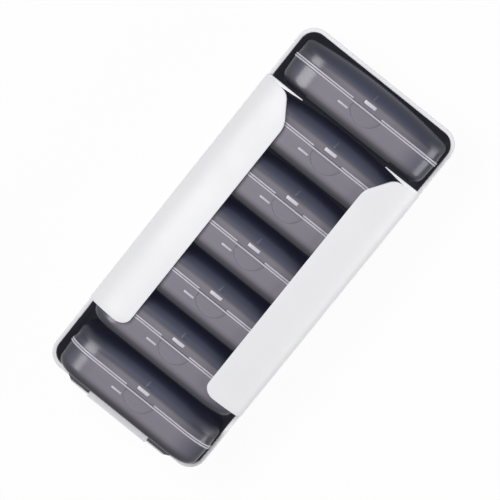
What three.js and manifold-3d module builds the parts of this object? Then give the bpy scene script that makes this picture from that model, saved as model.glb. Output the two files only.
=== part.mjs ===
// Compartment storage box: an open holder with curled-in sides, and a row of clamshell cases that
// stand on edge in it. Millimetres, +Z up. X runs across the holder, Y along it (+Y is the end with
// the chamfered flanges), and the origin is the middle of the footprint, on the table.
import * as THREE from 'three';
import { mergeVertices } from 'three/addons/utils/BufferGeometryUtils.js';
import Module from 'manifold-3d';

const wasm = await Module();
wasm.setup();

// Holder, outside
const holderWidth = 105;
const holderLength = 234.6;
const holderHeight = 58;
const rimDrop = 16.5;
const rimDepth = 1.5;
const holderCornerRadius = 10.5;
const footRadius = 3;
const shellWall = 1.4;
const shellFloor = 1.8;

// Flanges that curl in over the row
const flangeReach = 25.4;
const flangeRise = 10;
const flangeNearSetback = 7.8;
const flangeNearRadius = 7;
const flangeEndSlant = 1;
const flangeChamferAlong = 15;
const flangeChamferAcross = 10.6;
const flangeChamferRadius = 4;

// Stop ribs at the far ends of the flanges
const ribThickness = 2;
const ribTipThickness = 0.5;
const ribTaper = 14;
const ribTipSetback = 1.3;
const ribFarSetback = 0.7;
const ribHold = 3.5;
const ribStepDown = 0.5;

// Pull lip on the near end
const lipReach = 2.8;
const lipWidth = 41;
const lipLedgeReach = 2;
const lipLedgeWidth = 73.4;
const lipLedgeHeight = 7;
const lipLedgeEdge = 0.8;
const lipRecessDepth = 2;
const lipEndSlant = 4.5;

// Liner
const fitGap = 0.3;
const linerWall = 0.6;
const linerFloor = 1.2;
const tabThickness = 1.2;
const tabDrop = 0.4;

// Cases
const caseCount = 7;
const caseGap = 1.1;
const nearEndClearance = 0.3;
const farEndClearance = 0.8;
const caseSideClearance = 2;
const nearCaseShift = 1.7;
const farCaseShift = 0.8;
const crownClearance = 0.9;
const caseWall = 1.5;
const caseCornerAcross = 17;
const caseCornerDrop = 10.4;
const caseDraft = 0.3;
const baseFaceRounding = 5.2;
const baseFaceDrop = 3;
const baseEndRounding = 6.6;
const baseFaceBulge = 0.2;
const lidFaceRounding = 8.6;
const lidFaceDrop = 8.6;
const lidEndRounding = 4;
const lidFaceBulge = 1.4;
const lidBow = 3.4;
const caseSeamGap = 0.3;
const seamLipProud = 0.4;
const seamLipDepth = 1.1;

// Hinge along the foot of each case
const hingeLength = 54;
const lidKnuckleLength = 20;
const pinRadius = 1;
const pinClearance = 0.3;
const knuckleRadius = 2.2;
const knuckleGap = 0.3;
const knuckleArmReach = 4;
const knuckleArmThickness = 1.2;

// Latch and thumb recess along the crown
const thumbRadius = 10.3;
const thumbReach = 9.4;
const thumbFromMiddle = 0.6;
const thumbSquareSide = 8.6;
const thumbDepth = 0.9;
const thumbTiltDegrees = -3;
const lipNotchWidth = 19;
const windowWidth = 8;
const windowDepth = 2.2;
const windowFromSeam = 3.1;
const tongueWidth = 10.4;
const tongueThickness = 0.9;
const tongueClearance = 0.5;
const tongueReach = 4.8;
const tongueRoot = 3.5;
const nibWidth = 6.6;
const nibDepth = 1.2;
const nibProud = 0.4;
const nibFromSeam = 5.6;
const nibFromMiddle = 12;

// Steps of round stretches, and how far a cutter runs past what it cuts
const planCornerSteps = 8;
const flangeArcSteps = 10;
const flangeCurveSteps = 6;
const footArcSteps = 3;
const barrelSides = 10;
const thumbSides = 24;
const overrun = 1;

// Steps and shares of the rings that make up a case's skin
const cornerSteps = 4;
const longSideSteps = 3;
const shortSideSteps = 2;
const outerRoundShares = [0, 0.36, 0.68, 1];
const innerRoundShares = [0, 0.5, 1];
const faceShare = 0.55;

// Places worked out from the sizes above
const halfWidth = holderWidth / 2;
const nearEndY = (lipReach - holderLength) / 2;
const farEndY = nearEndY + holderLength;
const openTop = holderHeight + overrun;
const rimHeight = holderHeight - rimDrop;
const springHeight = holderHeight - flangeRise;
const insideInset = shellWall + fitGap + linerWall;
const linerFloorTop = shellFloor + fitGap + linerFloor;
const linerTop = rimHeight - rimDepth - fitGap;
const hingeZ = linerFloorTop + fitGap + knuckleRadius;

const rowLength = holderLength - 2 * insideInset - nearEndClearance - farEndClearance;
const rowMiddleY = nearEndY + insideInset + nearEndClearance + rowLength / 2;
const caseThickness = (rowLength - (caseCount - 1) * caseGap) / caseCount;
const casePitch = caseThickness + caseGap;
const caseLength = 2 * (halfWidth - insideInset - caseSideClearance - seamLipProud);
const caseFoot = seamLipProud;
const caseHeight = holderHeight - shellWall - crownClearance - seamLipProud - hingeZ - caseFoot;
const crownTop = caseFoot + caseHeight;
const crownLow = crownTop - caseDraft;
const seamLipEnd = seamLipDepth + seamLipProud;

const endGapFromMiddle = (caseCount / 2 - 1) * casePitch;
const flangeNearY = rowMiddleY - endGapFromMiddle + flangeNearSetback;
const ribFarY = rowMiddleY + endGapFromMiddle - ribFarSetback;
const ribNearY = ribFarY - ribThickness;

function plastic(color, roughness) {
  return new THREE.MeshStandardMaterial({ color, roughness, metalness: 0 });
}

// A closed three.js geometry as a solid that can be cut and joined
function solid(geometry) {
  const bare = geometry.index ? geometry.toNonIndexed() : geometry.clone();
  bare.deleteAttribute('normal');
  bare.deleteAttribute('uv');
  const merged = mergeVertices(bare);
  return new wasm.Manifold(new wasm.Mesh({
    numProp: 3,
    vertProperties: merged.attributes.position.array,
    triVerts: new Uint32Array(merged.index.array),
  }));
}

function meshOf(name, body, material) {
  const data = body.getMesh();
  const geometry = new THREE.BufferGeometry();
  geometry.setAttribute('position', new THREE.BufferAttribute(new Float32Array(data.vertProperties), 3));
  geometry.setIndex(new THREE.BufferAttribute(new Uint32Array(data.triVerts), 1));
  geometry.computeVertexNormals();
  const mesh = new THREE.Mesh(geometry, material);
  mesh.name = name;
  return mesh;
}

// Points on an arc of an ellipse, both ends included, angles in quarter turns
function arc(middleX, middleY, radiusX, radiusY, fromQuarter, toQuarter, steps) {
  const points = [];
  for (let step = 0; step <= steps; step += 1) {
    const angle = (fromQuarter + (toQuarter - fromQuarter) * step / steps) * Math.PI / 2;
    points.push(new THREE.Vector2(middleX + radiusX * Math.cos(angle), middleY + radiusY * Math.sin(angle)));
  }
  return points;
}

function outline(pairs) {
  return pairs.map(([x, y]) => new THREE.Vector2(x, y));
}

function extruded(points, depth) {
  return new THREE.ExtrudeGeometry(new THREE.Shape(points), { depth, bevelEnabled: false });
}

// A plan outline raised from one height to another
function raised(points, fromZ, toZ) {
  return solid(extruded(points, toZ - fromZ).translate(0, 0, fromZ));
}

// A section drawn in X and Z, run along Y
function runAlongY(points, fromY, toY) {
  const geometry = extruded(points, toY - fromY);
  geometry.rotateX(Math.PI / 2);
  return solid(geometry.translate(0, toY, 0));
}

// A section drawn in Y and Z, run along X
function runAlongX(points, fromX, toX) {
  const geometry = extruded(points, toX - fromX);
  geometry.rotateX(Math.PI / 2);
  geometry.rotateZ(Math.PI / 2);
  return solid(geometry.translate(fromX, 0, 0));
}

function block(fromX, toX, fromY, toY, fromZ, toZ) {
  const geometry = new THREE.BoxGeometry(toX - fromX, toY - fromY, toZ - fromZ);
  return solid(geometry.translate((fromX + toX) / 2, (fromY + toY) / 2, (fromZ + toZ) / 2));
}

function barAlongX(radius, fromX, toX) {
  const geometry = new THREE.CylinderGeometry(radius, radius, toX - fromX, barrelSides);
  geometry.rotateZ(Math.PI / 2);
  return solid(geometry.translate((fromX + toX) / 2, 0, 0));
}

function roundedRectangle(fromX, toX, fromY, toY, radiusX, radiusY) {
  return [
    ...arc(toX - radiusX, toY - radiusY, radiusX, radiusY, 0, 1, planCornerSteps),
    ...arc(fromX + radiusX, toY - radiusY, radiusX, radiusY, 1, 2, planCornerSteps),
    ...arc(fromX + radiusX, fromY + radiusY, radiusX, radiusY, 2, 3, planCornerSteps),
    ...arc(toX - radiusX, fromY + radiusY, radiusX, radiusY, 3, 4, planCornerSteps),
  ];
}

// Plan of the holder, inset from its outside
function holderPlan(inset) {
  const radius = holderCornerRadius - inset;
  return roundedRectangle(
    -halfWidth + inset, halfWidth - inset, nearEndY + inset, farEndY - inset, radius, radius);
}

// Cross section of the holder, inset from its outside: upright sides that curl in as quarter
// ellipses to the flanges' inner edges
function crossSection(inset, floorZ) {
  const side = halfWidth - inset;
  const reach = flangeReach - inset;
  const rise = flangeRise - inset;
  return [
    ...arc(side - reach, springHeight, reach, rise, 0, 1, flangeArcSteps),
    ...arc(-side + reach, springHeight, reach, rise, 1, 2, flangeArcSteps),
    ...arc(-side + footRadius, floorZ + footRadius, footRadius, footRadius, 2, 3, footArcSteps),
    ...arc(side - footRadius, floorZ + footRadius, footRadius, footRadius, 3, 4, footArcSteps),
  ];
}

// Long section of the holder, which rounds the foot of the two end walls
function longSection(inset, floorZ) {
  const near = nearEndY + inset;
  const far = farEndY - inset;
  return [
    new THREE.Vector2(far, openTop),
    new THREE.Vector2(near, openTop),
    ...arc(near + footRadius, floorZ + footRadius, footRadius, footRadius, 2, 3, footArcSteps),
    ...arc(far - footRadius, floorZ + footRadius, footRadius, footRadius, 3, 4, footArcSteps),
  ];
}

function holderBody(inset, floorZ) {
  return raised(holderPlan(inset), floorZ, openTop)
    .intersect(runAlongY(crossSection(inset, floorZ), nearEndY, farEndY))
    .intersect(runAlongX(longSection(inset, floorZ), -halfWidth, halfWidth));
}

// Plan of one flange, on the side that sign names (+1 right, -1 left)
function flangePlan(sign) {
  const outer = sign * (halfWidth + overrun);
  const inner = sign * (halfWidth - flangeReach);
  const shoulderX = inner + sign * flangeChamferAcross;
  const chamferY = ribNearY - flangeChamferAlong;
  const chamferLength = Math.hypot(flangeChamferAcross, flangeChamferAlong);
  const alongX = sign * flangeChamferRadius * flangeChamferAcross / chamferLength;
  const alongY = flangeChamferRadius * flangeChamferAlong / chamferLength;
  const shape = new THREE.Shape();
  shape.moveTo(outer, flangeNearY);
  shape.lineTo(inner + sign * flangeNearRadius, flangeNearY);
  shape.quadraticCurveTo(inner, flangeNearY, inner, flangeNearY + flangeNearRadius);
  shape.lineTo(inner, chamferY - flangeChamferRadius);
  shape.quadraticCurveTo(inner, chamferY, inner + alongX, chamferY + alongY);
  shape.lineTo(shoulderX - alongX, ribNearY - alongY);
  shape.quadraticCurveTo(shoulderX, ribNearY, shoulderX + sign * flangeChamferRadius, ribNearY);
  shape.lineTo(outer, ribNearY + flangeEndSlant);
  return shape.getPoints(flangeCurveSteps);
}

// One stop rib. It closes the flange's far end just below the flange's surface, thins to a point
// under the inner edge, and reaches over the edge of the trapped case beside it
function stopRib(sign) {
  const outer = sign * (halfWidth + overrun);
  const tip = sign * (halfWidth - flangeReach + ribTipSetback);
  const plan = outline([
    [outer, ribFarY],
    [tip, ribFarY],
    [tip, ribFarY - ribTipThickness],
    [tip + sign * ribTaper, ribNearY],
    [outer, ribNearY],
  ]);
  const holdX = caseLength / 2 - ribHold;
  const holdZ = hingeZ + crownTop - ribHold;
  const heldCase = roundedRectangle(
    -holdX, holdX, -holdZ, holdZ, caseCornerAcross - ribHold, caseCornerDrop - ribHold);
  return runAlongY(crossSection(ribStepDown, linerFloorTop + fitGap), ribNearY, ribFarY)
    .intersect(raised(plan, 0, openTop))
    .subtract(runAlongY(heldCase, ribNearY - overrun, ribFarY + overrun));
}

// Band round the rim, as wide as the wall and the liner that it covers
function rimBand() {
  const bottom = rimHeight - rimDepth;
  return raised(holderPlan(0), bottom, rimHeight)
    .subtract(raised(holderPlan(insideInset), bottom - overrun, openTop));
}

// A bar along the near wall's rim, its underside sloping back to the wall, with ends that slant in
function rimBar(width, reach, endSlant) {
  const wallY = nearEndY + shellWall / 2;
  const outerY = nearEndY - reach;
  const footZ = rimHeight - lipLedgeHeight;
  const side = width / 2;
  const section = outline([
    [wallY, rimHeight],
    [outerY, rimHeight],
    [outerY, footZ + reach],
    [nearEndY, footZ],
    [wallY, footZ],
  ]);
  const plan = outline([
    [-side, wallY],
    [-side, nearEndY],
    [-side + endSlant, outerY],
    [side - endSlant, outerY],
    [side, nearEndY],
    [side, wallY],
  ]);
  return runAlongX(section, -side, side).intersect(raised(plan, footZ, rimHeight));
}

// Plan of one of the two recesses beside the pull lip, or with a gap of what lies in it. Its outer
// end follows the ledge's slanted end
function recessPlan(sign, gap, backY) {
  const frontY = nearEndY - lipLedgeReach + lipLedgeEdge + gap;
  const innerX = lipWidth / 2 + gap;
  const outerX = lipLedgeWidth / 2 - lipLedgeEdge - gap;
  const frontX = outerX - lipEndSlant * (nearEndY - frontY) / lipLedgeReach;
  return outline([
    [sign * innerX, backY],
    [sign * innerX, frontY],
    [sign * frontX, frontY],
    [sign * outerX, nearEndY],
    [sign * outerX, backY],
  ]);
}

function outerShell() {
  let openings = block(
    -halfWidth - overrun, halfWidth + overrun, nearEndY - overrun, farEndY + overrun, rimHeight, openTop);
  for (const sign of [-1, 1]) {
    openings = openings.subtract(raised(flangePlan(sign), rimHeight - overrun, openTop + overrun));
  }
  let shell = holderBody(0, 0).subtract(holderBody(shellWall, shellFloor)).subtract(openings)
    .add(rimBand()).add(rimBar(lipLedgeWidth, lipLedgeReach, lipEndSlant)).add(rimBar(lipWidth, lipReach, 0));
  const recessBack = nearEndY + insideInset + overrun;
  for (const sign of [-1, 1]) {
    shell = shell.add(stopRib(sign))
      .subtract(raised(recessPlan(sign, 0, recessBack), rimHeight - lipRecessDepth, openTop));
  }
  return shell;
}

// The liner: a thin box that hangs under the rim band, slotted for the stop ribs, with two tabs that
// come up through the rim into the recesses beside the pull lip
function innerLiner() {
  const above = block(-halfWidth, halfWidth, nearEndY, farEndY, linerTop, openTop + overrun);
  const ribSlots = block(
    -halfWidth, halfWidth, ribNearY - fitGap, ribFarY + fitGap, linerFloorTop, openTop);
  let liner = holderBody(insideInset - linerWall, shellFloor + fitGap)
    .subtract(holderBody(insideInset, linerFloorTop))
    .subtract(above)
    .subtract(ribSlots);
  const tabTop = rimHeight - tabDrop;
  const insideY = nearEndY + insideInset;
  for (const sign of [-1, 1]) {
    const plan = recessPlan(sign, fitGap, insideY);
    const riserRoom = block(
      -halfWidth, halfWidth, insideY - linerWall, insideY, linerTop - overrun, tabTop);
    liner = liner
      .add(raised(plan, linerTop - overrun, tabTop).intersect(riserRoom))
      .add(raised(plan, tabTop - tabThickness, tabTop));
  }
  return liner;
}

// Points of one ring of a case: a rectangle in X and Z with quarter ellipses as its corners, and a
// few points between them, so that the faces can bulge
function ringPoints(halfLong, halfHigh, radiusX, radiusZ) {
  const points = [];
  const corners = [[1, 1, 0], [-1, 1, 1], [-1, -1, 2], [1, -1, 3]];
  corners.forEach(([signX, signZ, quarter], index) => {
    for (let step = 0; step <= cornerSteps; step += 1) {
      const angle = (quarter + step / cornerSteps) * Math.PI / 2;
      points.push([
        signX * (halfLong - radiusX) + radiusX * Math.cos(angle),
        signZ * (halfHigh - radiusZ) + radiusZ * Math.sin(angle),
      ]);
    }
    const alongX = index % 2 === 0;
    const steps = alongX ? longSideSteps : shortSideSteps;
    for (let step = 1; step < steps; step += 1) {
      const along = 1 - 2 * step / steps;
      points.push(alongX
        ? [signX * (halfLong - radiusX) * along, signZ * halfHigh]
        : [signX * halfLong, signZ * (halfHigh - radiusZ) * along]);
    }
  });
  return points;
}

// Distance from the seam plane of a point on a half whose face is bowed: full at mid length, less
// towards the ends, and unchanged on the seam lip
function bowedDistance(x, fromSeam, bow) {
  const endShare = 2 * x / caseLength;
  const depthShare = (fromSeam - seamLipEnd) / (caseThickness / 2 - seamLipEnd);
  return fromSeam - bow * endShare * endShare * Math.max(0, depthShare);
}

// A ring round a half at a distance from the seam plane, inset from the case's outline
function ringAt(fromSeam, insetX, insetZ, bow) {
  return ringPoints(
    caseLength / 2 - insetX, caseHeight / 2 - insetZ, caseCornerAcross - insetX, caseCornerDrop - insetZ)
    .map(([x, z]) => [x, bowedDistance(x, fromSeam, bow), z]);
}

// A ring at a share of the way round from the side (0) to the face (1), on the skin at a depth of
// wall below the outside. The crown may drop by another curve than the one that rounds the ends
function roundedRing(form, wall, share) {
  const angle = share * Math.PI / 2;
  const faceEdge = caseThickness / 2 - form.bulge;
  const fromSeam = faceEdge - form.rounding + (form.rounding - wall) * Math.sin(angle);
  const endRadius = form.endRounding - wall;
  const endSine = Math.min(1, Math.max(0, fromSeam - faceEdge + form.endRounding) / endRadius);
  return ringAt(
    fromSeam,
    wall + caseDraft + endRadius * (1 - Math.sqrt(1 - endSine * endSine)),
    wall + caseDraft + (form.drop - wall) * (1 - Math.cos(angle)),
    form.bow);
}

// The ring on the face, between its edge and its middle
function faceRing(form, edgeRing) {
  const fromSeam = caseThickness / 2 - form.bulge * faceShare * faceShare;
  return edgeRing.map(([x, , z]) => {
    const faceX = x * faceShare;
    return [faceX, bowedDistance(faceX, fromSeam, form.bow), z * faceShare];
  });
}

// A closed skin through rings, with a point at each end
function loft(rings, startPoint, endPoint) {
  const count = rings[0].length;
  const positions = [startPoint, ...rings.flat(), endPoint].flat();
  const last = 1 + rings.length * count;
  const index = [];
  for (let step = 0; step < count; step += 1) {
    const next = (step + 1) % count;
    index.push(0, 1 + step, 1 + next);
    for (let ring = 0; ring < rings.length - 1; ring += 1) {
      const a = 1 + ring * count;
      const b = a + count;
      index.push(a + step, b + next, a + next);
      index.push(a + step, b + step, b + next);
    }
    const end = 1 + (rings.length - 1) * count;
    index.push(end + step, last, end + next);
  }
  const geometry = new THREE.BufferGeometry();
  geometry.setAttribute('position', new THREE.BufferAttribute(new Float32Array(positions), 3));
  geometry.setIndex(index);
  return geometry;
}

// Half a case, open towards the seam plane at y = 0, with its face towards +Y and the axis of its
// hinge at z = 0. Its form gives the rounding, drop, bulge and bow of the face
function halfCase(form) {
  const outermost = caseThickness / 2;
  const outer = [
    ringAt(caseSeamGap / 2, -seamLipProud, -seamLipProud, form.bow),
    ringAt(seamLipDepth, -seamLipProud, -seamLipProud, form.bow),
    ringAt(seamLipEnd, 0, 0, form.bow),
    ...outerRoundShares.map((share) => roundedRing(form, 0, share)),
  ];
  outer.push(faceRing(form, outer[outer.length - 1]));
  const inner = [
    ringAt(caseSeamGap / 2, caseWall, caseWall, form.bow),
    ...innerRoundShares.map((share) => roundedRing(form, caseWall, share)),
  ];
  const geometry = loft([...inner.reverse(), ...outer], [0, outermost - caseWall, 0], [0, outermost, 0]);
  return solid(geometry.translate(0, 0, caseFoot + caseHeight / 2));
}

// Room for the whole hinge barrel
function barrelRoom() {
  const end = hingeLength / 2 + knuckleGap;
  return barAlongX(knuckleRadius + knuckleGap, -end, end);
}

// A stretch of barrel with the arm that ties it to the half on the side that sign names
function knuckle(fromX, toX, sign) {
  const armFrom = sign > 0 ? pinRadius : -knuckleArmReach;
  const armTo = sign > 0 ? knuckleArmReach : -pinRadius;
  const armFoot = caseFoot + caseSeamGap;
  return barAlongX(knuckleRadius, fromX, toX)
    .add(block(fromX, toX, armFrom, armTo, armFoot, armFoot + knuckleArmThickness));
}

function pinBore() {
  const end = hingeLength / 2 + overrun;
  return barAlongX(pinRadius + pinClearance, -end, end);
}

function hingePin() {
  return barAlongX(pinRadius, -hingeLength / 2, hingeLength / 2);
}

// Shallow scoop for the thumb, cut into the base's crown behind its seam lip. It is round, with one
// square side, and its floor rises away from the seam
function thumbScoop() {
  const tilt = thumbTiltDegrees * Math.PI / 180;
  const height = thumbDepth + overrun;
  const geometry = new THREE.CylinderGeometry(thumbRadius, thumbRadius, height, thumbSides);
  geometry.translate(0, height / 2, 0);
  geometry.rotateX(Math.PI / 2 + tilt);
  const middle = thumbRadius - thumbReach;
  geometry.translate(thumbFromMiddle, middle, crownTop - thumbDepth + middle * Math.tan(tilt));
  const end = thumbFromMiddle + thumbRadius + overrun;
  return solid(geometry)
    .intersect(block(-thumbSquareSide, end, -thumbReach - overrun, -seamLipEnd, 0, crownTop + height));
}

// The lid's seam lip is left out above the thumb scoop
function lipNotch() {
  const side = lipNotchWidth / 2;
  return block(-side, side, 0, seamLipEnd, crownTop, crownTop + seamLipProud + overrun);
}

// Latch tongue: it hangs from the base's crown and runs under the lid's window
function latchTongue() {
  const top = crownLow - caseWall - tongueClearance;
  const bottom = top - tongueThickness;
  const side = tongueWidth / 2;
  return block(-side, side, -tongueRoot, tongueReach, bottom, top)
    .add(block(-side, side, -tongueRoot, -caseSeamGap / 2, bottom, crownTop - caseWall / 2));
}

function caseNib() {
  const fromY = -nibFromSeam - nibDepth / 2;
  const fromX = -nibFromMiddle - nibWidth / 2;
  return block(fromX, fromX + nibWidth, fromY, fromY + nibDepth, crownTop - caseWall, crownLow + nibProud);
}

function caseBase() {
  const halfLid = lidKnuckleLength / 2 + knuckleGap;
  const end = hingeLength / 2;
  const form = {
    rounding: baseFaceRounding, drop: baseFaceDrop, endRounding: baseEndRounding, bulge: baseFaceBulge, bow: 0,
  };
  return halfCase(form).rotate([0, 0, 180])
    .add(latchTongue())
    .add(caseNib())
    .subtract(thumbScoop())
    .subtract(barrelRoom())
    .add(knuckle(-end, -halfLid, -1))
    .add(knuckle(halfLid, end, -1))
    .subtract(pinBore());
}

function caseLid() {
  const halfLid = lidKnuckleLength / 2;
  const fromY = windowFromSeam - windowDepth / 2;
  const latchWindow = block(
    -windowWidth / 2, windowWidth / 2, fromY, fromY + windowDepth,
    crownLow - caseWall - overrun, crownTop + overrun);
  const form = {
    rounding: lidFaceRounding, drop: lidFaceDrop, endRounding: lidEndRounding, bulge: lidFaceBulge, bow: lidBow,
  };
  return halfCase(form)
    .subtract(latchWindow)
    .subtract(lipNotch())
    .subtract(barrelRoom())
    .add(knuckle(-halfLid, halfLid, 1))
    .subtract(pinBore());
}

const shellMaterial = plastic(0xf1f1f5, 0.35);
const linerMaterial = plastic(0x17181c, 0.5);
const baseMaterial = plastic(0x77737c, 0.25);
const lidMaterial = plastic(0x6b6872, 0.25);
const pinMaterial = plastic(0x2a2a30, 0.4);

const box = new THREE.Group();
box.add(meshOf('outer_shell', outerShell(), shellMaterial));
box.add(meshOf('inner_liner', innerLiner(), linerMaterial));

const base = caseBase();
const lid = caseLid();
const pin = hingePin();
const caseShifts = { 0: nearCaseShift, [caseCount - 1]: farCaseShift };
for (let index = 0; index < caseCount; index += 1) {
  const name = `case_${index + 1}`;
  const unit = new THREE.Group();
  unit.position.set(
    caseShifts[index] || 0, rowMiddleY + (index - (caseCount - 1) / 2) * casePitch, hingeZ);
  unit.add(meshOf(`${name}_base`, base, baseMaterial));
  unit.add(meshOf(`${name}_lid`, lid, lidMaterial));
  unit.add(meshOf(`${name}_hinge_pin`, pin, pinMaterial));
  box.add(unit);
}

export default box;
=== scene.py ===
"""Looks of the compartment storage box: a white holder with curled-in flanges, a black liner and a
row of smoke-tinted clamshell cases. Sizes are in millimetres and become metres when a mesh is made."""
import math

import bmesh
import bpy
import numpy as np
from mathutils import Matrix, Vector


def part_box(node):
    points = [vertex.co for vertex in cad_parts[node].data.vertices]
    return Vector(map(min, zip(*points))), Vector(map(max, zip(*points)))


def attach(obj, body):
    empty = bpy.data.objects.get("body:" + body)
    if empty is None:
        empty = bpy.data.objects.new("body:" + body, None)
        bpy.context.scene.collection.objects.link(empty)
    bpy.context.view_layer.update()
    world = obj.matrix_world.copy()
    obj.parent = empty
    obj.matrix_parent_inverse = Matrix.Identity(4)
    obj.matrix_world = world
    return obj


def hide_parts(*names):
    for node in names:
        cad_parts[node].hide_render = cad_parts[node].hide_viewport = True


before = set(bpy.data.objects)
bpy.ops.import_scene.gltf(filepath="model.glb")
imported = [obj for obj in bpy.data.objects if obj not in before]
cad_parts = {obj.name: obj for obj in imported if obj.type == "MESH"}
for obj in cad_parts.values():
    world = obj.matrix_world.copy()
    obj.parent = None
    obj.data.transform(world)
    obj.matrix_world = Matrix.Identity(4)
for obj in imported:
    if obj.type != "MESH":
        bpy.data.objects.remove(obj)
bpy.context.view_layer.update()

MM = 0.001

# Holder
HOLDER_WIDTH = 105.0
HOLDER_LENGTH = 234.6
HOLDER_HEIGHT = 58.0
HOLDER_CORNER = 10.5
FOOT_RADIUS = 3.0
SHELL_WALL = 1.4
SHELL_FLOOR = 1.8
RIM_HEIGHT = 41.5
RIM_DEPTH = 1.5
RIM_EDGE = 0.5
INSIDE_INSET = 2.3
LIP_REACH = 2.8
HALF_WIDTH = HOLDER_WIDTH / 2
NEAR_END = (LIP_REACH - HOLDER_LENGTH) / 2
FAR_END = NEAR_END + HOLDER_LENGTH
PLAN_STEPS = 16
FOOT_STEPS = 8
RIM_STEPS = 5
FLOOR_STEPS = 6

# Flanges
FLANGE_REACH = 25.4
FLANGE_RISE = 10.0
FLANGE_NEAR = -73.2
FLANGE_FAR = 80.6
FLANGE_NEAR_ACROSS = 7.5
FLANGE_NEAR_ALONG = 5.8
FLANGE_SLANT = 1.0
FLANGE_EDGE = 0.45
FLANGE_SHARP_DEGREES = 50
CHAMFER_ALONG = 15.0
CHAMFER_ACROSS = 10.6
CHAMFER_CORNER = 4.0
CHAMFER_STEPS = 12
SPRING = HOLDER_HEIGHT - FLANGE_RISE
FLANGE_INNER = HALF_WIDTH - FLANGE_REACH
CORNER_COLUMNS = 18
CURL_COLUMNS = 21
CURL_START_DEGREES = 70
LEAST_COLUMN_RADIANS = 0.02
FLANGE_ROWS = 41

# Stop ribs
RIB_FAR = 82.6
RIB_THICKNESS = 2.0
RIB_TIP_THICKNESS = 0.5
RIB_TAPER = 14.0
RIB_TIP_SETBACK = 1.3
RIB_STEP_DOWN = 0.5
RIB_HOLD = 3.5
RIB_FOOT = 3.6
RIB_EDGE = 0.2
RIB_TIP = FLANGE_INNER + RIB_TIP_SETBACK
RIB_CURL_DEGREES = 4
RIB_CURL_STEPS = 26
RIB_CASE_DEGREES = 6
RIB_CASE_STEPS = 14
RIB_STATIONS = 40

# Pull lip and the ledge that carries it
LIP_WIDTH = 41.0
LIP_ROUND = 0.9
LEDGE_REACH = 2.0
LEDGE_WIDTH = 73.4
LEDGE_HEIGHT = 7.0
LEDGE_EDGE = 0.8
LEDGE_ROUND = 0.35
LEDGE_SLANT = 4.5
RECESS_DEPTH = 2.0

# Cases, measured from the hinge axis up and from the seam plane out
CASE_COUNT = 7
CASE_LENGTH = 95.6
CASE_HEIGHT = 49.1
CASE_THICKNESS = 31.757
CASE_FOOT = 0.4
CASE_WALL = 1.5
CORNER_ACROSS = 17.0
CORNER_DROP = 10.4
CASE_DRAFT = 0.3
BASE_FORM = {"rounding": 5.2, "drop": 3.0, "end_rounding": 6.6, "bulge": 0.2, "bow": 0.0}
LID_FORM = {"rounding": 8.6, "drop": 8.6, "end_rounding": 4.0, "bulge": 1.4, "bow": 3.4}
SEAM_GAP = 0.3
LIP_PROUD = 0.4
LIP_DEPTH = 1.1
LIP_EDGE = 0.18
LIP_FILLET = 0.3
LIP_END = LIP_DEPTH + LIP_PROUD
CROWN_TOP = CASE_FOOT + CASE_HEIGHT
CROWN_LOW = CROWN_TOP - CASE_DRAFT
CASE_MIDDLE = CASE_FOOT + CASE_HEIGHT / 2
CASE_CORNER_STEPS = 18
CASE_LONG_STEPS = 14
CASE_SHORT_STEPS = 6
OUTSIDE_STEPS = 18
INSIDE_STEPS = 6
FACE_SHARES = (0.93, 0.84, 0.72, 0.58, 0.42, 0.25, 0.1)

# Hinge at a case's foot
HINGE_LENGTH = 54.0
LID_KNUCKLE = 20.0
PIN_RADIUS = 1.0
PIN_CLEARANCE = 0.3
KNUCKLE_RADIUS = 2.2
KNUCKLE_GAP = 0.3
ARM_REACH = 4.0
ARM_THICKNESS = 1.2
BAR_SIDES = 28

# Thumb recess and latch. They all sit a little beside the case's middle.
LATCH_SHIFT = 0.85
THUMB_RADIUS = 10.1
THUMB_REACH = 9.2
THUMB_MIDDLE = 0.6
THUMB_SQUARE = 8.3
THUMB_DEPTH = 1.0
THUMB_TILT = -3.0
THUMB_FLARE = 0.2
THUMB_SIDES = 72
NOTCH_WIDTH = 19.0
WINDOW_WIDTH = 8.0
WINDOW_DEPTH = 2.2
WINDOW_MIDDLE = 3.1
INSERT_GAP = 0.08
INSERT_ROUND = 0.15
TONGUE_WIDTH = 10.4
TONGUE_THICKNESS = 0.9
TONGUE_CLEARANCE = 0.5
TONGUE_REACH = 4.8
TONGUE_ROOT = 3.5
NIB_WIDTH = 6.6
NIB_DEPTH = 1.2
NIB_PROUD = 0.4
NIB_FROM_SEAM = 5.6
NIB_FROM_MIDDLE = 12.0
NIB_ROUND = 0.2
STREAK_WIDTH = 1.0
STREAK_NEAR = 6.3
STREAK_FAR = 9.9
STREAK_PROUD = 0.12
STREAK_STEPS = 7

# Material slots of a case's halves
SMOKE = 0
PALE = 1
STREAK = 2

# Making of the meshes: angles from which edges are sharp or rounded, how far a cutter runs past what it cuts,
# and the distance within which points are one
SHARP_DEGREES = 32
BEVEL_DEGREES = 40
PIN_SHARP_DEGREES = 50
OVERRUN = 1.0
MERGE_DISTANCE = 0.0001

# Noise textures, with scales per metre. A material spreads their middle values to its full range.
NOISE_LOW = 0.3
NOISE_HIGH = 0.7
NOISE_DETAIL = 3.0
GRAIN_DETAIL = 2.0
GRAIN_DEPTH = 0.04
TONE_SCALE = 14.0
GLOSS_SCALE = 60.0
GLOSS_SPREAD = 0.1
GRAIN_SCALE = 900.0
GRAIN_STRENGTH = 0.15

# Smoke plastic: its tints, the depth over which its tone changes, its painted glow, and where its slope loses its
# gloss. The far slopes' tint and the darkening tone are partly painted shade.
VIOLET_TINT = (1.0, 0.925, 1.11)
SHADED_SLOPE_TINT = (0.3, 0.4, 1.0)
SMOKE_REACH = 14.4
SLOPE_START = 4.0
SLOPE_END = 8.0
SMOKE_ROUGHNESS = 0.23
SMOKE_ROUGHNESS_SPREAD = 0.03
SMOKE_SPECULAR = 0.52
# The smoke's painted glow: a faint emission that lifts the gaps between the cases.
SMOKE_PAINTED_GLOW = (0.007, 0.007, 0.014)
SMOKE_GLOSS_SCALE = 40.0
SMOKE_GRAIN_SCALE = 700.0
SMOKE_GRAIN_STRENGTH = 0.08

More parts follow.
